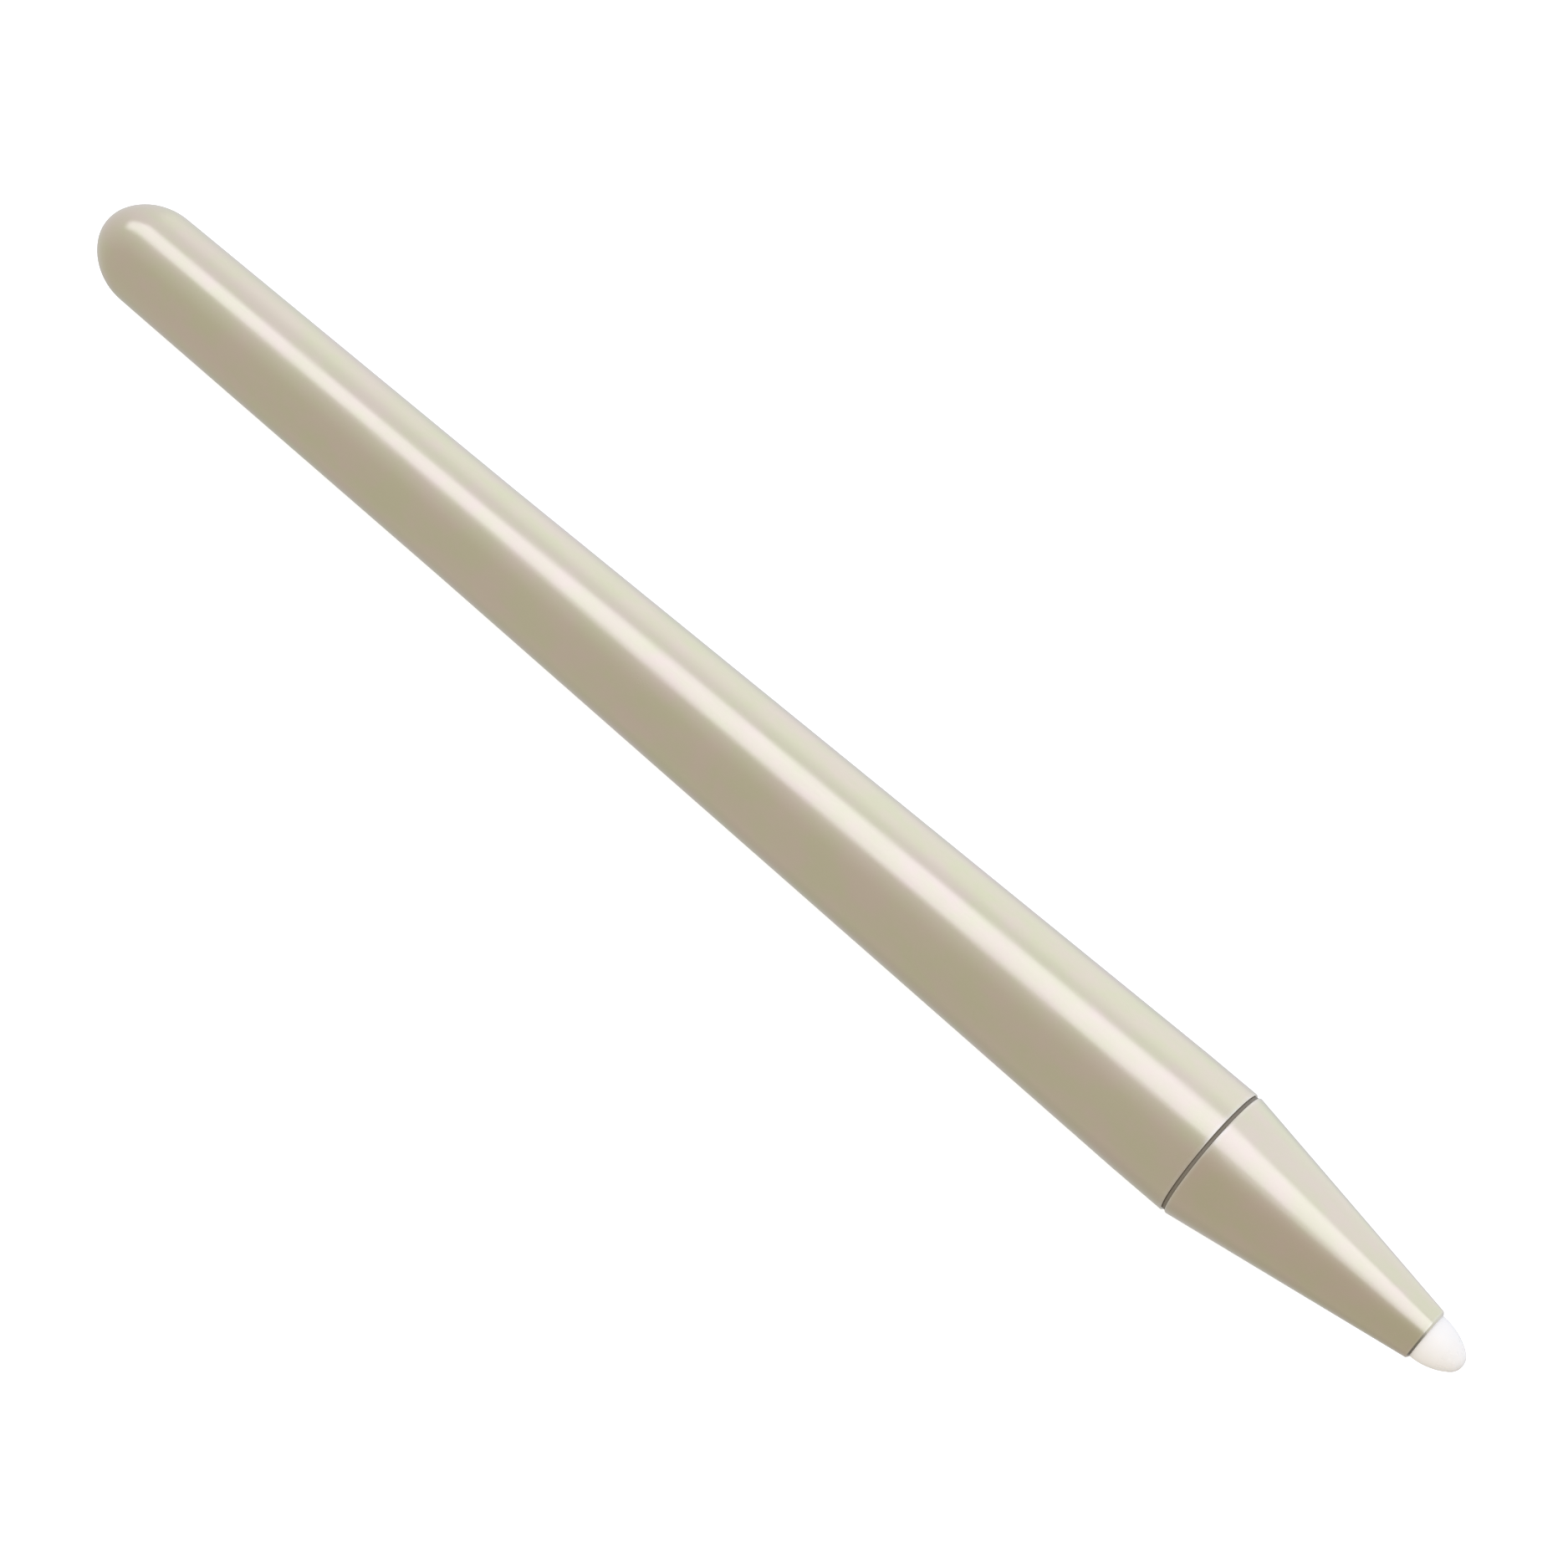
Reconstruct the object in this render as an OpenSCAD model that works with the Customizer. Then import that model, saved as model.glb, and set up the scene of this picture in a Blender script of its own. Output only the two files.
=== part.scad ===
// Pen-shaped folding and creasing tool for paper and card.
// A tapered metal barrel with a domed end screws onto a metal nose cone, and
// the cone carries a blunt plastic tip that does the folding.
//
// Every piece is drawn round the Z axis, with the dome's end at z = 0 and the
// tip at the top. lay_down() then lays the whole tool along +X on the plane
// z = 0, resting on its dome and its grip as it would on a table.

/* [Barrel] */
// Length from the end of the dome to the open mouth
barrel_len = 148; // [130:0.1:180]
// Widest diameter, at the straight grip next to the seam
grip_d = 13.9; // [13.8:0.1:16]
// Length of the straight grip
grip_len = 6; // [3:0.1:12]
// Diameter where the slow rear taper meets the quicker front taper
waist_d = 11.5; // [11:0.1:13]
// Distance of that place from the end of the dome
waist_at = 53; // [30:1:90]
// Diameter where the dome begins
dome_d = 10.8; // [10:0.1:11.4]
// Length of the dome
dome_len = 6.5; // [5.8:0.1:9]
// Radius of the blunt cap that ends the dome
dome_cap_r = 4.4; // [3.5:0.1:4.8]
// Wall thickness of the barrel's tube
barrel_wall = 1; // [0.6:0.1:1]
// Rounding of the rims on both sides of the seam
seam_round = 0.15; // [0.05:0.05:0.3]

/* [Nose cone] */
// Length of the nose cone
nose_len = 25.2; // [22:0.1:32]
// Diameter of its wide end
nose_base_d = 13.85; // [13.5:0.05:16]
// Diameter of its narrow mouth
nose_mouth_d = 5.4; // [5.3:0.05:6.4]
// Rounding of the lip at the mouth
lip_round = 0.2; // [0.05:0.05:0.2]

/* [Tip] */
// Diameter of the tip's body
tip_d = 4.8; // [4:0.1:4.8]
// Length of the blunt point that stands out of the mouth
tip_point_len = 4.2; // [3.5:0.1:6]
// Radius of the cap that ends the point
tip_cap_r = 1.5; // [1:0.1:1.8]
// Length of the tip's body inside the nose cone
tip_body_len = 7.6; // [5:0.1:8]
// Diameter of the shank that the sleeve grips
shank_d = 3; // [2:0.1:3.2]
// Length of the shank
shank_len = 9; // [6:0.5:9]

/* [Screw joint] */
// Outside diameter of the screw thread
thread_d = 10; // [9.5:0.1:10.4]
// Length of the male thread on the nose core
thread_len = 5.3; // [4:0.1:7]
// Length of the threaded bush in the barrel
bush_len = 10; // [8:0.5:20]
// Thickness of the rubber washer in the seam
washer_t = 0.36; // [0.2:0.02:0.6]
// How far the washer's edge lies below the grip's surface
washer_inset = 0.2; // [0.1:0.05:0.5]

/* [Fits] */
// Radial clearance of pieces that turn or slide
running_gap = 0.05; // [0.02:0.01:0.1]
// Radial gap of pieces that are glued or pressed together
bond_gap = 0.02; // [0.01:0.01:0.03]

/* [Hidden] */
$fn = 96;

grip_r = grip_d / 2;
waist_r = waist_d / 2;
dome_r = dome_d / 2;
nose_base_r = nose_base_d / 2;
nose_mouth_r = nose_mouth_d / 2;
tip_r = tip_d / 2;
shank_r = shank_d / 2;
thread_r = thread_d / 2;

// heights along the tool
grip_at = barrel_len - grip_len;
washer_play = 0.02;
washer_at = barrel_len + washer_play;
nose_at = washer_at + washer_t + washer_play;
mouth_at = nose_at + nose_len;
tool_len = mouth_at + tip_point_len;

// the washer sits on the core's neck, between the barrel's rim and the cone
neck_r = 4.6;
neck_len = 2;
bush_inset = 0.1;
bush_front = barrel_len - bush_inset;
bush_at = bush_front - bush_len;
seat_r = grip_r - barrel_wall;
bush_r = seat_r - bond_gap;

// the core fills the cone's two bores and carries the thread behind them
plug_r = 4.4;
plug_len = 10;
spigot_r = 2.9;
tip_seat = mouth_at - tip_body_len;
seat_play = 0.05;
thread_at = nose_at - neck_len - thread_len;
thread_chamfer = 0.4;

// the split sleeve that grips the tip's shank
sleeve_r = 2.1;
sleeve_len = 10;
sleeve_slit = 0.4;
push_hole_r = 1.2;
edge_break = 0.3;

// the tool leans by this much when its dome and its grip touch the table
lean = atan((grip_r - dome_r) / (grip_at - dome_len));
laid_len = dome_len + (tool_len - dome_len) * cos(lean);

champagne = [0.84, 0.79, 0.68];
brass = [0.78, 0.62, 0.33];
rubber = [0.44, 0.41, 0.35];
nylon = [0.86, 0.85, 0.80];
white_plastic = [0.96, 0.96, 0.95];

// Lays the upright tool along +X, centred over the origin
module lay_down() {
    translate([dome_len - laid_len / 2, 0, dome_r])
        rotate([0, 90 - lean, 0])
            translate([0, 0, -dome_len])
                children();
}

// Half outline of a blunt round end: a wide arc that starts straight up from
// the base and runs smoothly into a small cap
module blunt_half(base_r, height, cap_r) {
    cap_y = height - cap_r;
    side_r = (pow(base_r, 2) + pow(cap_y, 2) - pow(cap_r, 2)) / (2 * (base_r - cap_r));
    meet_y = cap_y + cap_r * cap_y / (side_r - cap_r);
    intersection() {
        union() {
            intersection() {
                translate([base_r - side_r, 0]) circle(side_r);
                square([base_r, meet_y]);
            }
            translate([0, cap_y]) circle(cap_r);
        }
        square([base_r, height]);
    }
}

// Half outline of the barrel, or of its hollow when it is drawn smaller by a wall
module barrel_half(inset, top) {
    translate([0, dome_len])
        mirror([0, 1])
            blunt_half(dome_r - inset, dome_len - inset, dome_cap_r - inset);
    polygon([
        [0, dome_len],
        [dome_r - inset, dome_len],
        [waist_r - inset, waist_at],
        [grip_r - inset, grip_at],
        [grip_r - inset, top],
        [0, top],
    ]);
}

// Half outline of a cone with both of its rims rounded
module cone_half(base_r, top_r, height, base_round, top_round) {
    slope = atan((base_r - top_r) / height);
    base_x = base_r - base_round * (tan(slope) + 1 / cos(slope));
    top_x = top_r + top_round * (tan(slope) - 1 / cos(slope));
    polygon([
        [0, 0],
        [base_x, 0],
        [base_x + base_round * cos(slope), base_round * (1 + sin(slope))],
        [top_x + top_round * cos(slope), height - top_round * (1 - sin(slope))],
        [top_x, height],
        [0, height],
    ]);
    translate([base_x, base_round]) circle(base_round);
    translate([top_x, height - top_round]) circle(top_round);
}

// Half outline of a plain round length between two heights
module rod_half(radius, from, to) {
    translate([0, from]) square([radius, to - from]);
}

// The tapered tube, closed by its dome and bored for the bush
module barrel() {
    color(champagne)
        lay_down()
            rotate_extrude()
                difference() {
                    union() {
                        barrel_half(0, barrel_len - seam_round);
                        rod_half(grip_r - seam_round, grip_at, barrel_len);
                        translate([grip_r - seam_round, barrel_len - seam_round])
                            circle(seam_round);
                    }
                    barrel_half(barrel_wall, bush_at);
                    rod_half(seat_r, bush_at, barrel_len + 1);
                }
}

// The bush in the barrel's mouth that the nose core screws into
module barrel_bush() {
    color(brass)
        lay_down()
            rotate_extrude()
                difference() {
                    rod_half(bush_r, bush_at, bush_front);
                    rod_half(thread_r + running_gap, bush_at - 1, bush_front + 1);
                }
}

// The rubber washer whose edge shows as the dark line of the seam
module seam_washer() {
    color(rubber)
        lay_down()
            rotate_extrude()
                difference() {
                    rod_half(grip_r - washer_inset, washer_at, washer_at + washer_t);
                    rod_half(neck_r + running_gap, washer_at - 1, washer_at + washer_t + 1);
                }
}

// The cone, bored from behind for the core and from the front for the tip
module nose_cone() {
    color(champagne)
        lay_down()
            rotate_extrude()
                difference() {
                    translate([0, nose_at])
                        cone_half(nose_base_r, nose_mouth_r, nose_len, seam_round, lip_round);
                    rod_half(plug_r, nose_at - 1, nose_at + plug_len);
                    rod_half(spigot_r, nose_at, tip_seat);
                    rod_half(tip_r + running_gap, nose_at, mouth_at + 1);
                }
}

// The core that is pressed into the cone: male thread, neck, plug and spigot
module nose_core() {
    plug_end = nose_at + plug_len - seat_play;
    spigot_end = tip_seat - seat_play;
    color(brass)
        lay_down()
            rotate_extrude()
                difference() {
                    union() {
                        polygon([
                            [0, thread_at],
                            [thread_r - thread_chamfer, thread_at],
                            [thread_r, thread_at + thread_chamfer],
                            [thread_r, thread_at + thread_len],
                            [0, thread_at + thread_len],
                        ]);
                        rod_half(neck_r, thread_at + thread_len, nose_at);
                        rod_half(plug_r - bond_gap, nose_at, plug_end);
                        rod_half(spigot_r - bond_gap, plug_end, spigot_end);
                    }
                    rod_half(push_hole_r, thread_at - 1, spigot_end);
                    rod_half(sleeve_r, spigot_end - sleeve_len, spigot_end + 1);
                }
}

// The split sleeve that holds the tip's shank by friction
module tip_sleeve() {
    sleeve_end = tip_seat - 2 * seat_play;
    sleeve_from = tip_seat - seat_play - sleeve_len;
    color(nylon)
        lay_down()
            difference() {
                rotate_extrude()
                    difference() {
                        rod_half(sleeve_r - bond_gap, sleeve_from, sleeve_end);
                        rod_half(shank_r + bond_gap, sleeve_from - 1, sleeve_end + 1);
                    }
                translate([0, -sleeve_slit / 2, sleeve_from - 1])
                    cube([sleeve_r + 1, sleeve_slit, sleeve_len + 2]);
            }
}

// The folding tip: blunt point, body in the mouth and shank in the sleeve
module tip() {
    shank_end = tip_seat - shank_len;
    color(white_plastic)
        lay_down()
            rotate_extrude() {
                translate([0, mouth_at]) blunt_half(tip_r, tip_point_len, tip_cap_r);
                rod_half(tip_r, tip_seat, mouth_at);
                polygon([
                    [0, shank_end],
                    [shank_r - edge_break, shank_end],
                    [shank_r, shank_end + edge_break],
                    [shank_r, tip_seat],
                    [0, tip_seat],
                ]);
            }
}

barrel();
barrel_bush();
seam_washer();
nose_cone();
nose_core();
tip_sleeve();
tip();
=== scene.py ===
"""Looks of a pen-shaped folding tool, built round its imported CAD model.

Every shell is turned as a lathe would turn it, and the screw joint between the barrel and the nose
has a real thread. The tool is drawn upright round the Z axis, in millimetres, with the dome's end
at height 0 and the tip at the top. LAID_DOWN then lays it on the floor as the CAD model lies.
"""

import math

import bmesh
import bpy
from mathutils import Euler, Matrix, Vector


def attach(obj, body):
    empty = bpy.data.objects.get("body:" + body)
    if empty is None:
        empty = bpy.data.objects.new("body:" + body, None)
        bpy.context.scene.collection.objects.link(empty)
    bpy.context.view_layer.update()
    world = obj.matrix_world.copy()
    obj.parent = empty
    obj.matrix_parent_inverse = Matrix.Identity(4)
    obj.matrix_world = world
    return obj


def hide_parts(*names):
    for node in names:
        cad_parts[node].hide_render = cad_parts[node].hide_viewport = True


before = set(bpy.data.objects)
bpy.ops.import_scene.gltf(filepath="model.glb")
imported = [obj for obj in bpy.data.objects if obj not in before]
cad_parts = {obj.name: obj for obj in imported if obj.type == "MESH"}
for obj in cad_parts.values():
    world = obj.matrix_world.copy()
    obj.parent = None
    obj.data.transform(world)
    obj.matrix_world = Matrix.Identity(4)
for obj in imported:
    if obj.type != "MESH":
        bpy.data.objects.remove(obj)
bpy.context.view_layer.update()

MM = 0.001

# ---------------------------------------------------------------- sizes, in millimetres

# They are the CAD model's sizes, apart from the eased rims, the bevelled lip, the washer's bulge
# and the thread, which the CAD model draws more simply.

# radial gaps of glued or pressed pieces, and of pieces that turn or slide
BOND_GAP = 0.02
RUNNING_GAP = 0.05

# the barrel is thinnest at the dome, and at the waist its taper becomes steeper
BARREL_LEN = 148.0
BARREL_WALL = 1.0
DOME_R = 5.4
DOME_LEN = 6.5
DOME_CAP_R = 4.4
WAIST_R = 5.75
WAIST_AT = 53.0
GRIP_R = 6.95
GRIP_LEN = 6.0
GRIP_AT = BARREL_LEN - GRIP_LEN

# the washer in the seam
WASHER_T = 0.36
WASHER_PLAY = 0.02
WASHER_INSET = 0.2
WASHER_BULGE = 0.04
WASHER_R = GRIP_R - WASHER_INSET
WASHER_AT = BARREL_LEN + WASHER_PLAY

# the nose cone
NOSE_LEN = 25.2
NOSE_BASE_R = 6.925
NOSE_MOUTH_R = 2.7
LIP_BEVEL = 0.2
NOSE_AT = WASHER_AT + WASHER_T + WASHER_PLAY
MOUTH_AT = NOSE_AT + NOSE_LEN

# the eased rims on both sides of the seam
RIM_ROUND = 0.3
RIM_SWEEP = math.radians(32)

# the tip
TIP_R = 2.4
TIP_POINT_LEN = 4.2
TIP_CAP_R = 1.5
TIP_BODY_LEN = 7.6
TIP_SEAT = MOUTH_AT - TIP_BODY_LEN
SHANK_R = 1.5
SHANK_LEN = 9.0
TOOL_LEN = MOUTH_AT + TIP_POINT_LEN

# the core inside the cone, and the bore for the sleeve
PLUG_R = 4.4
PLUG_LEN = 10.0
SPIGOT_R = 2.9
SLEEVE_R = 2.1
SLEEVE_LEN = 10.0
PUSH_HOLE_R = 1.2
NECK_R = 4.6
NECK_LEN = 2.0

# the screw thread. Its crest and its flank are shares of half a pitch, and its softness is the
# share of the flank's depth that is rounded off
THREAD_R = 5.0
THREAD_LEN = 5.3
THREAD_AT = NOSE_AT - NECK_LEN - THREAD_LEN
THREAD_DEPTH = 0.54
THREAD_PITCH = 1.0
THREAD_CREST = 0.10
THREAD_FLANK = 0.66
THREAD_SOFTNESS = 0.4

# the threaded bush in the barrel's mouth
BUSH_LEN = 10.0
BUSH_INSET = 0.1
BUSH_RELIEF = 0.8
BUSH_AT = BARREL_LEN - BUSH_INSET - BUSH_LEN
SEAT_R = GRIP_R - BARREL_WALL
BUSH_R = SEAT_R - BOND_GAP

# the tool leans a little, because it lies on its dome and its thicker grip
LEAN = math.atan((GRIP_R - DOME_R) / (GRIP_AT - DOME_LEN))
LAID_LEN = DOME_LEN + (TOOL_LEN - DOME_LEN) * math.cos(LEAN)
LAID_DOWN = (
    Matrix.Scale(MM, 4)
    @ Matrix.Translation((DOME_LEN - LAID_LEN / 2, 0, DOME_R))
    @ Matrix.Rotation(math.pi / 2 - LEAN, 4, "Y")
    @ Matrix.Translation((0, 0, -DOME_LEN))
)

# ---------------------------------------------------------------- how finely pieces are turned

SEGMENTS = 192
ARC_STEPS = 20
RIM_STEPS = 8
TAPER_STEP = 4.0
GRIP_STEP = 1.0
CONE_STEP = 1.5
THREAD_STEPS = 16
EDGE_BREAK = 0.12
WELD = 0.0005
SHARP_ANGLE = math.radians(32)

# ---------------------------------------------------------------- camera and light

# the view is in millimetres, from the point of the floor under the tool's middle
VIEW_AZIMUTH = math.radians(42.495)
VIEW_ELEVATION = math.radians(68.226)
VIEW_DISTANCE = 340.5
FACING_DOWN = (math.pi / 2 - VIEW_ELEVATION, 0, VIEW_AZIMUTH)
VIEW_AIM = (4.85, 0.88, 5.62)
VIEW_LENS = 80.64
SENSOR_WIDTH = 36.0

# the softbox hangs over the tool's far side, parallel to it. It narrows beyond the dome, and a
# broader length of it is mirrored near the cone's mouth. Each length has its start and its end in
# metres, its angle and its spread
SOFTBOX_DISTANCE = 0.45
SOFTBOX_RADIANCE = 0.60
SOFTBOX_COLOUR = (0.70, 0.74, 1.0)
SOFTBOX_DOME_JOINT = -0.205
SOFTBOX_NOSE_JOINT = 0.19
SOFTBOX_BROAD = (SOFTBOX_NOSE_JOINT, 0.40, math.radians(13.7), math.radians(25.4))
SOFTBOX_WIDE = (SOFTBOX_DOME_JOINT, SOFTBOX_NOSE_JOINT, math.radians(18.3), math.radians(20.8))
SOFTBOX_NARROW = (-1.05, SOFTBOX_DOME_JOINT, math.radians(19.6), math.radians(15.2))

# a weak, very broad light from the near side, for the pieces that aren't metal
FILL_STRENGTH = 1.15
FILL_TILT = math.radians(60)
FILL_BREADTH = math.radians(180)
FILL_COLOUR = (1.0, 0.96, 0.92)

# the floor and the backdrop, in metres
BACKDROP_RADIUS = 3.0
BACKDROP_TONE = 1.0
FLOOR_TONE = 0.94
FLOOR_GLOW = 0.58

# the room's brightness from the tool's near side (-1) across the zenith (0) to its far side (1)
ROOM = (
    (-1.00, (0.515, 0.500, 0.465)),
    (-0.60, (0.525, 0.510, 0.475)),
    (-0.10, (0.62, 0.62, 0.62)),
    (0.60, (0.75, 0.77, 0.83)),
    (0.76, (0.78, 0.81, 0.87)),
    (0.92, (0.915, 0.965, 1.03)),
    (1.00, (0.925, 0.98, 1.05)),
)

# The values below change that brightness in some parts of the room. Each range is of a direction's
# share along the tool, across it or up, and a change fades in from its first number to its second.

# towards the tip the near side is a little darker and warmer
NEAR_SIDE = (0.0, -0.4)
NEAR_TIPWARD = (-0.30, 0.22)
NEAR_TINT = (0.93, 0.89, 0.87)

# towards the tip the far side has one even tone
FAR_SIDE = (0.62, 0.74)
FAR_TIPWARD = (-0.02, 0.12)
FAR_TONE = (0.875, 0.92, 1.01)

# a dark corner beyond the tip, on the near side, from about the horizon downwards
CORNER_TONE = 0.30
CORNER_HEIGHT = (0.10, -0.05)
CORNER_ALONG = (0.35, 0.45)
CORNER_NEAR_EDGE = (-0.75, -0.5)
CORNER_FAR_EDGE = (0.2, 0.0)

# it is darker straight below
BELOW_TONE = 0.85
BELOW_HEIGHT = (-0.60, -0.90)


# ---------------------------------------------------------------- turning


def revolve(name, stations):
    """Turns an outline round the tool's axis and lays the piece down.

    A station is (radius, height), or a function that gives them for an angle, so that a screw
    thread is turned in the same way as a plain shoulder. Points that meet are welded.
    """
    bm = bmesh.new()
    columns = []
    for step in range(SEGMENTS + 1):
        angle = 2 * math.pi * step / SEGMENTS
        column = []
        for station in stations:
            radius, height = station(angle) if callable(station) else station
            place = (radius * math.cos(angle), radius * math.sin(angle), height)
            column.append(bm.verts.new(place))
        columns.append(column)
    for left, right in zip(columns, columns[1:]):
        for corners in zip(left, right, right[1:], left[1:]):
            bm.faces.new(corners)
    bmesh.ops.remove_doubles(bm, verts=bm.verts, dist=WELD)
    bmesh.ops.dissolve_degenerate(bm, dist=WELD, edges=bm.edges)
    bmesh.ops.recalc_face_normals(bm, faces=bm.faces)
    bm.transform(LAID_DOWN)
    piece = add_piece(name, bm)
    piece.data.shade_smooth()
    piece.data.set_sharp_from_angle(angle=SHARP_ANGLE)
    return piece


def add_piece(name, bm):
    """A new object in the scene with the finished mesh."""
    mesh = bpy.data.meshes.new(name)
    bm.to_mesh(mesh)
    bm.free()
    piece = bpy.data.objects.new(name, mesh)
    bpy.context.scene.collection.objects.link(piece)
    return piece


def arc(centre, radius, from_angle, to_angle, steps):
    """Points on an arc, its angles measured from straight outwards towards the tool's tip."""
    points = []
    for step in range(steps + 1):
        angle = from_angle + (to_angle - from_angle) * step / steps
        out = centre[0] + radius * math.cos(angle)
        up = centre[1] + radius * math.sin(angle)
        points.append((max(out, 0.0), up))
    return points


def blunt_end(base_r, height, cap_r):
    """Outline of a blunt round end from its base at height 0 to its apex: a wide arc that starts
    straight up and runs smoothly into a small cap."""
    cap_y = height - cap_r
    side_r = (base_r**2 + cap_y**2 - cap_r**2) / (2 * (base_r - cap_r))
    meet_y = cap_y + cap_r * cap_y / (side_r - cap_r)
    meet_angle = math.asin(meet_y / side_r)
    side = arc((base_r - side_r, 0), side_r, 0, meet_angle, ARC_STEPS)
    cap = arc((0, cap_y), cap_r, meet_angle, math.pi / 2, ARC_STEPS)
    return side + cap[1:]


def straight(start, end, step):
    """Evenly spaced points on a straight stretch, without its last point."""
    count = max(1, round(math.dist(start, end) / step))
    return [
        tuple(a + (b - a) * index / count for a, b in zip(start, end)) for index in range(count)
    ]


def barrel_outline(inset):
    """Outline of the barrel, or of its hollow when it is drawn smaller by a wall, up to the grip."""
    dome = blunt_end(DOME_R - inset, DOME_LEN - inset, DOME_CAP_R - inset)
    outline = [(radius, DOME_LEN - height) for radius, height in reversed(dome)]
    waist = (WAIST_R - inset, WAIST_AT)
    outline += straight(outline.pop(), waist, TAPER_STEP)
    outline += straight(waist, (GRIP_R - inset, GRIP_AT), TAPER_STEP)
    return outline


def thread_radius(angle, height):
    """Radius of the male thread's surface at a point: a right-hand thread with rounded crests."""
    turn = height / THREAD_PITCH - angle / (2 * math.pi)
    from_crest = abs((turn + 0.5) % 1.0 - 0.5) * 2
    ramp = min(max((from_crest - THREAD_CREST) / THREAD_FLANK, 0.0), 1.0)
    soft = ramp * ramp * (3 - 2 * ramp)
    return THREAD_R - THREAD_DEPTH * ((1 - THREAD_SOFTNESS) * ramp + THREAD_SOFTNESS * soft)


def thread_stations(start, end, radius_at):
    """Stations that follow the helix from one height to the other, cut square at both."""
    pitches = math.ceil((end - start) / THREAD_PITCH) + 1

    def station(index):
        def place(angle):
            turn = index / THREAD_STEPS - 1 + angle / (2 * math.pi)
            height = min(max(start + turn * THREAD_PITCH, start), end)
            return radius_at(angle, height), height

        return place

    return [station(index) for index in range(pitches * THREAD_STEPS + 1)]


# ---------------------------------------------------------------- pieces


def make_barrel():
    """The tapered tube with its domed end, its eased rim and the bore for the bush."""
    ease = RIM_ROUND * math.sin(RIM_SWEEP)
    rim = arc((GRIP_R - RIM_ROUND, BARREL_LEN - ease), RIM_ROUND, 0, RIM_SWEEP, RIM_STEPS)
    outside = barrel_outline(0) + straight((GRIP_R, GRIP_AT), rim[0], GRIP_STEP) + rim
    taper = (GRIP_R - WAIST_R) / (GRIP_AT - WAIST_AT)
    hollow = [point for point in barrel_outline(BARREL_WALL) if point[1] < BUSH_AT]
    inside = [
        (SEAT_R + EDGE_BREAK, BARREL_LEN),
        (SEAT_R, BARREL_LEN - EDGE_BREAK),
        (SEAT_R, BUSH_AT),
        (GRIP_R - BARREL_WALL - taper * (GRIP_AT - BUSH_AT), BUSH_AT),
    ]
    return revolve("barrel_tube", outside + inside + hollow[::-1])


def make_bush():
    """The threaded bush: its thread has a chamfer at the back and a relief at the mouth."""
    bore_r = THREAD_R + RUNNING_GAP
    front = BUSH_AT + BUSH_LEN

    def bore(angle, height):
        lead = max(bore_r - (height - BUSH_AT), bore_r - max(0.0, front - BUSH_RELIEF - height))
        return max(thread_radius(angle, height) + RUNNING_GAP, lead)

    outside = [
        (BUSH_R - EDGE_BREAK, front),
        (BUSH_R, front - EDGE_BREAK),
        (BUSH_R, BUSH_AT + EDGE_BREAK),
        (BUSH_R - EDGE_BREAK, BUSH_AT),
    ]
    thread = thread_stations(BUSH_AT, front, bore)
    return revolve("threaded_bush", outside + thread + outside[:1])


def make_washer():
    """The rubber washer: its rim bulges a little where the two metal faces squeeze it."""
    bore_r = NECK_R + RUNNING_GAP
    rim = []
    for step in range(RIM_STEPS + 1):
        share = step / RIM_STEPS
        bulge = WASHER_BULGE * (1 - (2 * share - 1) ** 2)
        rim.append((WASHER_R - WASHER_BULGE + bulge, WASHER_AT + WASHER_T * share))
    bore = [(bore_r, WASHER_AT + WASHER_T), (bore_r, WASHER_AT)]
    return revolve("sealing_washer", rim + bore + rim[:1])


def make_cone():
    """The nose cone: its wide rim is eased, its lip is bevelled, and it is bored from behind for the
    core and in front for the tip."""
    slope = math.atan((NOSE_BASE_R - NOSE_MOUTH_R) / NOSE_LEN)
    ease = RIM_ROUND * (math.sin(RIM_SWEEP) + math.sin(slope))
    shoulder = NOSE_BASE_R - ease * math.tan(slope)
    centre = (shoulder - RIM_ROUND * math.cos(slope), NOSE_AT + RIM_ROUND * math.sin(RIM_SWEEP))
    base = arc(centre, RIM_ROUND, -RIM_SWEEP, slope, RIM_STEPS)
    lip = [
        (NOSE_MOUTH_R + LIP_BEVEL * math.tan(slope), MOUTH_AT - LIP_BEVEL),
        (NOSE_MOUTH_R - LIP_BEVEL, MOUTH_AT),
    ]
    mouth_r = TIP_R + RUNNING_GAP
    bores = [
        (mouth_r, MOUTH_AT),
        (mouth_r, TIP_SEAT),
        (SPIGOT_R, TIP_SEAT),
        (SPIGOT_R, NOSE_AT + PLUG_LEN),
        (PLUG_R, NOSE_AT + PLUG_LEN),
        (PLUG_R, NOSE_AT),
    ]
    flank = straight(base[-1], lip[0], CONE_STEP)
    return revolve("cone_shell", base[:-1] + flank + lip + bores + base[:1])


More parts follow.
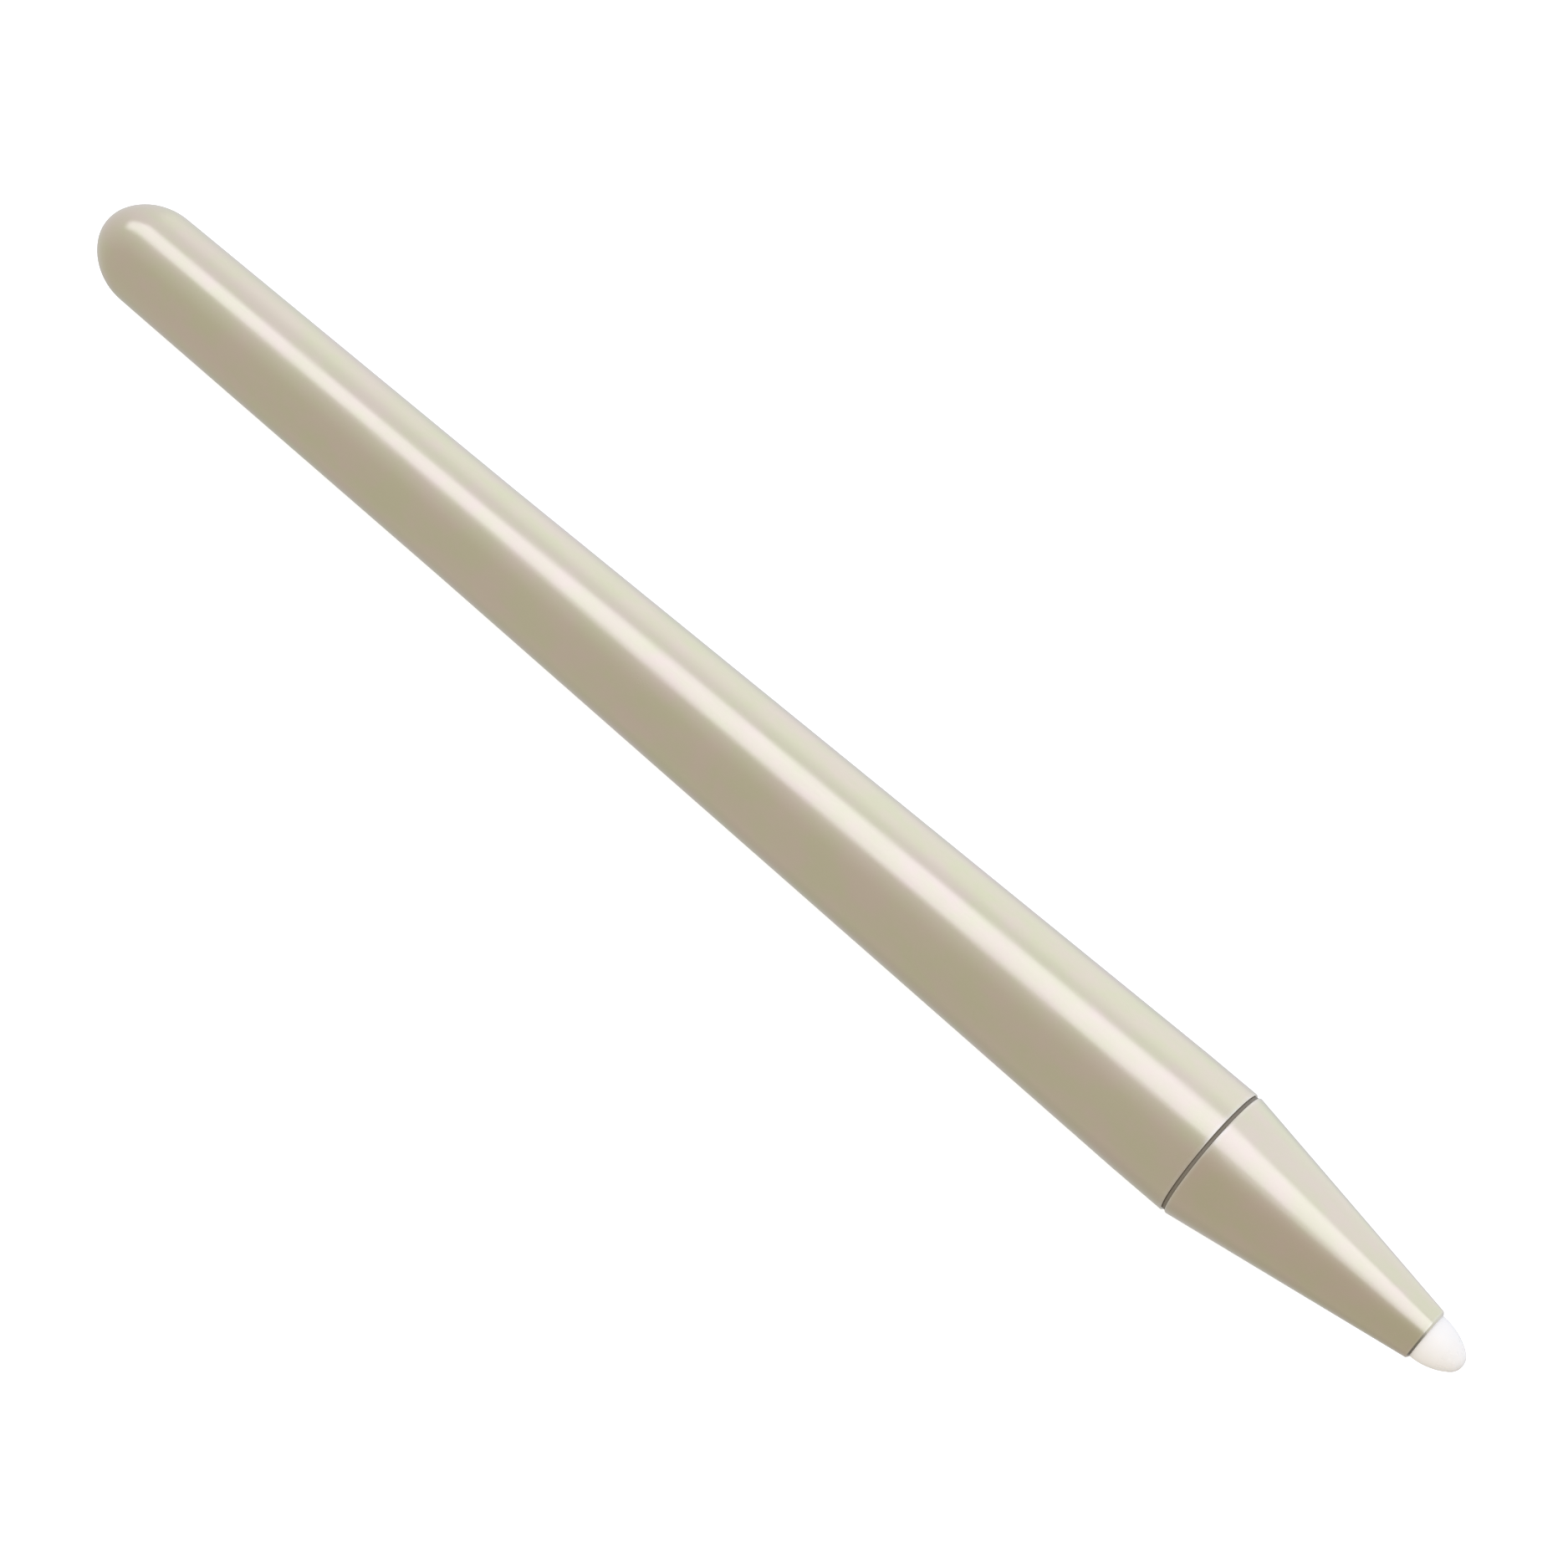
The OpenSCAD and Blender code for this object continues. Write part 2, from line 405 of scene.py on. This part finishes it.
def make_core():
    """The brass core: screw thread, neck for the washer, and the plug and spigot in the cone. Both
    ends of the thread are chamfered down to the neck's radius."""
    thread_end = THREAD_AT + THREAD_LEN

    def screw(angle, height):
        lead = NECK_R + min(height - THREAD_AT, thread_end - height)
        return min(thread_radius(angle, height), lead)

    plug_end = NOSE_AT + PLUG_LEN - RUNNING_GAP
    spigot_end = TIP_SEAT - RUNNING_GAP
    sleeve_at = spigot_end - SLEEVE_LEN
    rear = [(PUSH_HOLE_R, THREAD_AT + EDGE_BREAK), (PUSH_HOLE_R + EDGE_BREAK, THREAD_AT)]
    front = [
        (NECK_R, thread_end),
        (NECK_R, NOSE_AT),
        (PLUG_R - BOND_GAP, NOSE_AT),
        (PLUG_R - BOND_GAP, plug_end),
        (SPIGOT_R - BOND_GAP, plug_end),
        (SPIGOT_R - BOND_GAP, spigot_end),
        (SLEEVE_R, spigot_end),
        (SLEEVE_R, sleeve_at),
        (PUSH_HOLE_R, sleeve_at),
    ]
    thread = thread_stations(THREAD_AT, thread_end, screw)
    return revolve("threaded_core", rear + thread + front + rear[:1])


def make_tip():
    """The folding tip: blunt point, body in the cone's mouth and shank in the sleeve."""
    shank_end = TIP_SEAT - SHANK_LEN
    end = blunt_end(TIP_R, TIP_POINT_LEN, TIP_CAP_R)
    point = [(radius, MOUTH_AT + height) for radius, height in end]
    body = [
        (TIP_R, TIP_SEAT + EDGE_BREAK),
        (TIP_R - EDGE_BREAK, TIP_SEAT),
        (SHANK_R, TIP_SEAT),
        (SHANK_R, shank_end + 2 * EDGE_BREAK),
        (SHANK_R - 2 * EDGE_BREAK, shank_end),
        (0, shank_end),
    ]
    return revolve("plastic_tip", point[::-1] + body)


# ---------------------------------------------------------------- finishes


class Wires:
    """A node tree that is written as sums are: every step returns its output socket."""

    def __init__(self, tree):
        self.tree = tree

    def node(self, kind, inputs, **settings):
        """A new node. Its inputs are given as sockets to link or as plain values."""
        made = self.tree.nodes.new(kind)
        for name, value in settings.items():
            setattr(made, name, value)
        for name, value in inputs.items():
            self.put(made.inputs[name], value)
        return made

    def put(self, socket, value):
        """Links a socket to another, or sets its value."""
        if isinstance(value, bpy.types.NodeSocket):
            self.tree.links.new(value, socket)
        else:
            socket.default_value = value

    def span(self, value, given, wanted=(0.0, 1.0)):
        """A value carried from a given range into a wanted one, and held at its ends."""
        inputs = {
            "Value": value,
            "From Min": given[0],
            "From Max": given[1],
            "To Min": wanted[0],
            "To Max": wanted[1],
        }
        return self.node("ShaderNodeMapRange", inputs).outputs["Result"]

    def math(self, operation, first, second=0.0):
        """One step of arithmetic."""
        made = self.tree.nodes.new("ShaderNodeMath")
        made.operation = operation
        self.put(made.inputs[0], first)
        self.put(made.inputs[1], second)
        return made.outputs["Value"]

    def blend(self, factor, first, second, how="MIX"):
        """A colour between two others."""
        made = self.node("ShaderNodeMix", {}, data_type="RGBA", blend_type=how)
        chosen = {"Factor_Float": factor, "A_Color": first, "B_Color": second}
        for identifier, value in chosen.items():
            socket = next(each for each in made.inputs if each.identifier == identifier)
            self.put(socket, value)
        return next(each for each in made.outputs if each.identifier == "Result_Color")


class Surface(Wires):
    """A Principled material."""

    def __init__(self, name):
        self.material = bpy.data.materials.new(name)
        self.material.use_nodes = True
        super().__init__(self.material.node_tree)
        self.shader = self.tree.nodes["Principled BSDF"]

    def set(self, **values):
        """Sets or links the Principled shader's inputs, named with _ for spaces."""
        for name, value in values.items():
            self.put(self.shader.inputs[name.replace("_", " ")], value)


class Finish(Surface):
    """A material whose patterns are laid out in the tool's own millimetres."""

    def __init__(self, name):
        super().__init__(name)
        self.place = self.tool_space()
        self.height = self.node("ShaderNodeSeparateXYZ", {"Vector": self.place}).outputs["Z"]

    def tool_space(self):
        """The point being shaded in the upright tool's frame, in millimetres."""
        stand_up = LAID_DOWN.inverted()
        point = self.node("ShaderNodeTexCoord", {}).outputs["Object"]
        mapping = {
            "Vector": point,
            "Location": stand_up.translation,
            "Rotation": stand_up.to_euler(),
            "Scale": (1 / MM,) * 3,
        }
        return self.node("ShaderNodeMapping", mapping).outputs["Vector"]

    def noise(self, scale, detail=2.0, stretch=(1, 1, 1), roughness=0.5):
        """Noise with scale features per millimetre, pulled along an axis where stretch is small."""
        place = self.node("ShaderNodeMapping", {"Vector": self.place, "Scale": stretch})
        inputs = {
            "Vector": place.outputs["Vector"],
            "Scale": scale,
            "Detail": detail,
            "Roughness": roughness,
        }
        return self.node("ShaderNodeTexNoise", inputs).outputs["Fac"]

    def near_rims(self, heights, reach):
        """1 at each of these heights along the tool, fading to 0 over reach millimetres."""
        total = 0.0
        for rim in heights:
            distance = self.math("ABSOLUTE", self.math("SUBTRACT", self.height, rim))
            total = self.math("ADD", self.span(distance, (0.0, reach), (1.0, 0.0)), total)
        return total

    def bump(self, height, depth, base=None):
        """Raises the surface by depth metres where height is 1, on top of the base bumps if given."""
        inputs = {"Height": height, "Distance": depth, "Strength": 1.0}
        if base is not None:
            inputs["Normal"] = base
        return self.node("ShaderNodeBump", inputs).outputs["Normal"]


def colour(red, green, blue):
    return (red, green, blue, 1.0)


def grey(tone):
    return colour(tone, tone, tone)


def champagne_metal():
    """Satin champagne lacquer on aluminium: a mottled pearl tone with a fine grain, faint draw
    lines along the tool, and rims worn brighter."""
    rosy = colour(0.829, 0.704, 0.590)
    olive = colour(0.770, 0.740, 0.518)
    cloudy = colour(0.845, 0.760, 0.600)
    flecked = colour(0.840, 0.755, 0.595)
    bare = colour(0.90, 0.86, 0.78)

    finish = Finish("champagne_satin_metal")
    mottle = finish.noise(0.30, detail=3.0, stretch=(1, 1, 0.7), roughness=0.55)
    clouds = finish.noise(0.07, stretch=(1, 1, 0.5))
    pearl = finish.noise(7.0)
    lines = finish.noise(5.0, detail=3.0, stretch=(1, 1, 0.02))
    smudges = finish.noise(0.25, detail=4.0, stretch=(1, 1, 0.6), roughness=0.62)
    patchy = finish.span(finish.noise(1.8, detail=3.0), (0.35, 0.65), (0.35, 1.0))
    rims = finish.near_rims((BARREL_LEN, NOSE_AT, MOUTH_AT), reach=0.45)
    worn = finish.math("MULTIPLY", rims, patchy)

    tone = finish.blend(finish.span(mottle, (0.36, 0.64)), rosy, olive)
    tone = finish.blend(finish.span(clouds, (0.35, 0.65), (0.0, 0.25)), tone, cloudy)
    tone = finish.blend(finish.span(pearl, (0.35, 0.65), (0.0, 0.35)), tone, flecked)
    tone = finish.blend(finish.math("MULTIPLY", worn, 0.7), tone, bare)
    rough = finish.span(smudges, (0.35, 0.75), (0.20, 0.27))
    rough = finish.math("ADD", rough, finish.span(lines, (0.3, 0.7), (-0.015, 0.015)))
    rough = finish.math("ADD", rough, finish.math("MULTIPLY", worn, 0.06))
    grain = finish.bump(pearl, depth=1.2e-6)
    finish.set(
        Base_Color=tone,
        Metallic=1.0,
        Roughness=rough,
        Normal=finish.bump(lines, depth=1.0e-6, base=grain),
        Coat_Weight=0.25,
        Coat_Roughness=0.12,
    )
    return finish.material


def white_plastic():
    """Smooth white acetal: slightly translucent, with the point burnished by use."""
    white = colour(0.935, 0.900, 0.850)
    whiter = colour(0.965, 0.930, 0.885)
    dirt = colour(0.82, 0.79, 0.75)

    finish = Finish("white_acetal")
    clouds = finish.noise(0.5, detail=3.0)
    grain = finish.noise(14.0)
    scuffs = finish.noise(1.3, detail=3.0, stretch=(1, 1, 0.4), roughness=0.6)
    burnished = finish.span(finish.height, (TOOL_LEN - 2.2, TOOL_LEN - 0.2))
    soiled = finish.math("MULTIPLY", burnished, finish.span(scuffs, (0.55, 0.8), (0.0, 0.2)))

    tone = finish.blend(clouds, white, whiter)
    rough = finish.math("SUBTRACT", finish.span(grain, (0.3, 0.7), (0.36, 0.46)), burnished)
    rough = finish.math("MAXIMUM", rough, finish.span(scuffs, (0.3, 0.7), (0.22, 0.34)))
    finish.set(
        Base_Color=finish.blend(soiled, tone, dirt),
        Roughness=rough,
        Normal=finish.bump(grain, depth=1.5e-6),
        Subsurface_Weight=0.25,
        Subsurface_Radius=(1.0, 0.9, 0.85),
        Subsurface_Scale=0.0012,
        IOR=1.48,
    )
    return finish.material


def turned_brass():
    """Brass from the lathe: fine tool rings, and a warmer tarnish in patches."""
    bright = colour(0.84, 0.66, 0.36)
    deep = colour(0.78, 0.59, 0.30)
    brown = colour(0.55, 0.36, 0.17)

    finish = Finish("turned_brass")
    rings = finish.noise(1.0, detail=3.0, stretch=(0.15, 0.15, 16.0))
    patches = finish.noise(0.45, detail=4.0, roughness=0.6)
    tarnish = finish.span(patches, (0.48, 0.72), (0.0, 0.55))
    polish = finish.span(rings, (0.3, 0.7), (0.20, 0.30))
    finish.set(
        Base_Color=finish.blend(tarnish, finish.blend(rings, bright, deep), brown),
        Metallic=1.0,
        Roughness=finish.math("ADD", polish, finish.math("MULTIPLY", tarnish, 0.2)),
        Normal=finish.bump(rings, depth=4.0e-6),
    )
    return finish.material


def grey_rubber():
    """Warm grey rubber: dull, with a fine skin and a little dust."""
    clean = colour(0.22, 0.19, 0.145)
    dusty = colour(0.30, 0.28, 0.235)

    finish = Finish("grey_rubber")
    skin = finish.noise(9.0, detail=4.0)
    dust = finish.noise(2.2, detail=5.0, roughness=0.7)
    finish.set(
        Base_Color=finish.blend(finish.span(dust, (0.55, 0.8), (0.0, 0.4)), clean, dusty),
        Roughness=finish.span(skin, (0.3, 0.7), (0.48, 0.68)),
        Normal=finish.bump(skin, depth=5.0e-6),
    )
    return finish.material


def ivory_nylon():
    """Moulded nylon: ivory, waxy and faintly mottled."""
    darker = colour(0.80, 0.76, 0.64)
    lighter = colour(0.86, 0.83, 0.73)

    finish = Finish("ivory_nylon")
    mottle = finish.noise(0.8, detail=4.0)
    skin = finish.noise(10.0)
    finish.set(
        Base_Color=finish.blend(mottle, darker, lighter),
        Roughness=finish.span(skin, (0.3, 0.7), (0.38, 0.52)),
        Normal=finish.bump(skin, depth=3.0e-6),
        Subsurface_Weight=0.2,
        Subsurface_Scale=0.001,
    )
    return finish.material


def dress(piece, finish):
    """Gives a piece one finish all over."""
    piece.data.materials.clear()
    piece.data.materials.append(finish)


# ---------------------------------------------------------------- studio


def make_floor():
    """The pale floor, which glows a little so that it stays white beside the tool. It lights nothing
    and the metal mirrors the room instead of it."""
    bm = bmesh.new()
    bmesh.ops.create_circle(bm, cap_ends=True, segments=96, radius=BACKDROP_RADIUS)
    floor = add_piece("floor", bm)
    surface = Surface("pale_floor")
    surface.set(
        Base_Color=grey(FLOOR_TONE),
        Roughness=0.9,
        Specular_IOR_Level=0.1,
        Emission_Color=grey(1.0),
        Emission_Strength=FLOOR_GLOW,
    )
    dress(floor, surface.material)
    floor.visible_glossy = False
    floor.visible_diffuse = False


def make_backdrop():
    """A plain pale ball round everything, which lights nothing and is seen by the camera alone."""
    bm = bmesh.new()
    bmesh.ops.create_uvsphere(bm, u_segments=48, v_segments=24, radius=BACKDROP_RADIUS)
    backdrop = add_piece("backdrop", bm)
    surface = Surface("pale_backdrop")
    surface.set(
        Base_Color=grey(0.0),
        Specular_IOR_Level=0.0,
        Emission_Color=grey(BACKDROP_TONE),
        Emission_Strength=1.0,
    )
    dress(backdrop, surface.material)
    backdrop.visible_glossy = False
    backdrop.visible_diffuse = False
    backdrop.visible_transmission = False
    backdrop.visible_shadow = False


def make_room():
    """Soft light from all round: mid-toned on the near side and bright on the far side."""
    world = bpy.data.worlds.new("room")
    bpy.context.scene.world = world
    world.use_nodes = True
    wires = Wires(world.node_tree)
    direction = wires.node("ShaderNodeTexCoord", {}).outputs["Generated"]
    along, across, up = wires.node("ShaderNodeSeparateXYZ", {"Vector": direction}).outputs
    ramp = wires.node("ShaderNodeValToRGB", {"Fac": wires.span(across, (-1.0, 1.0))})
    stops = ramp.color_ramp.elements
    stops.remove(stops[-1])
    for index, (side, shade) in enumerate(ROOM):
        stop = stops[0] if index == 0 else stops.new((side + 1) / 2)
        stop.position = (side + 1) / 2
        stop.color = colour(*shade)

    def where(*limits):
        """1 where each of these shares of the direction has passed its range, and 0 before it."""
        total = 1.0
        for share, fade_in in limits:
            total = wires.math("MULTIPLY", total, wires.span(share, fade_in))
        return total

    near = where((across, NEAR_SIDE), (along, NEAR_TIPWARD))
    light = wires.blend(near, ramp.outputs["Color"], colour(*NEAR_TINT), "MULTIPLY")
    far = where((across, FAR_SIDE), (along, FAR_TIPWARD))
    light = wires.blend(far, light, colour(*FAR_TONE))
    corner = where(
        (up, CORNER_HEIGHT),
        (along, CORNER_ALONG),
        (across, CORNER_FAR_EDGE),
        (across, CORNER_NEAR_EDGE),
    )
    light = wires.blend(corner, light, grey(CORNER_TONE), "MULTIPLY")
    light = wires.blend(where((up, BELOW_HEIGHT)), light, grey(BELOW_TONE), "MULTIPLY")
    wires.put(wires.tree.nodes["Background"].inputs["Color"], light)


def make_softbox(name, start, end, angle, spread):
    """One length of the softbox that draws the highlight. Seen from the tool, it hangs at an angle
    from straight up and reaches as far as its spread to both sides."""
    light = bpy.data.lights.new(name, "AREA")
    light.shape = "RECTANGLE"
    light.size = end - start
    light.size_y = 2 * SOFTBOX_DISTANCE * math.tan(spread)
    light.energy = SOFTBOX_RADIANCE * math.pi * light.size * light.size_y
    light.color = SOFTBOX_COLOUR
    softbox = bpy.data.objects.new(name, light)
    softbox.location = (
        (start + end) / 2,
        SOFTBOX_DISTANCE * math.sin(angle),
        SOFTBOX_DISTANCE * math.cos(angle),
    )
    softbox.rotation_euler = (-angle, 0, 0)
    bpy.context.scene.collection.objects.link(softbox)


def make_fill():
    """A weak light without shadows, which the metal doesn't mirror."""
    light = bpy.data.lights.new("fill", "SUN")
    light.energy = FILL_STRENGTH
    light.color = FILL_COLOUR
    light.angle = FILL_BREADTH
    light.use_shadow = False
    fill = bpy.data.objects.new("fill", light)
    fill.rotation_euler = (FILL_TILT, 0, 0)
    fill.visible_glossy = False
    bpy.context.scene.collection.objects.link(fill)


def make_camera():
    """The camera, high over the tip and a little to the near side."""
    lens = bpy.data.cameras.new("camera")
    lens.lens = VIEW_LENS
    lens.sensor_width = SENSOR_WIDTH
    camera = bpy.data.objects.new("camera", lens)
    back = Euler(FACING_DOWN).to_matrix() @ Vector((0, 0, VIEW_DISTANCE))
    camera.location = (Vector(VIEW_AIM) + back) * MM
    camera.rotation_euler = FACING_DOWN
    bpy.context.scene.collection.objects.link(camera)
    bpy.context.scene.camera = camera


# ---------------------------------------------------------------- the scene

make_camera()
make_room()
make_softbox("softbox_broad", *SOFTBOX_BROAD)
make_softbox("softbox_wide", *SOFTBOX_WIDE)
make_softbox("softbox_narrow", *SOFTBOX_NARROW)
make_fill()
make_floor()
make_backdrop()
bpy.context.scene.view_settings.view_transform = "Standard"

champagne = champagne_metal()
brass = turned_brass()

# what makes each piece, the CAD node it stands for, the body it rides on, its slot and its finish
PIECES = (
    (make_barrel, "barrel", "handle", "champagne_metal", champagne),
    (make_bush, "barrel_bush", "handle", "brass", brass),
    (make_washer, "seam_washer", "seal", "grey_rubber", grey_rubber()),
    (make_cone, "nose_cone", "nose", "champagne_metal", champagne),
    (make_core, "nose_core", "nose", "brass", brass),
    (make_tip, "tip", "folding_tip", "white_plastic", white_plastic()),
)
for make_piece, node, body, slot, finish in PIECES:
    piece = make_piece()
    dress(piece, finish)
    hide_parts(node)
    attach(piece, body)

# the split sleeve keeps its CAD shape
dress(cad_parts["tip_sleeve"], ivory_nylon())
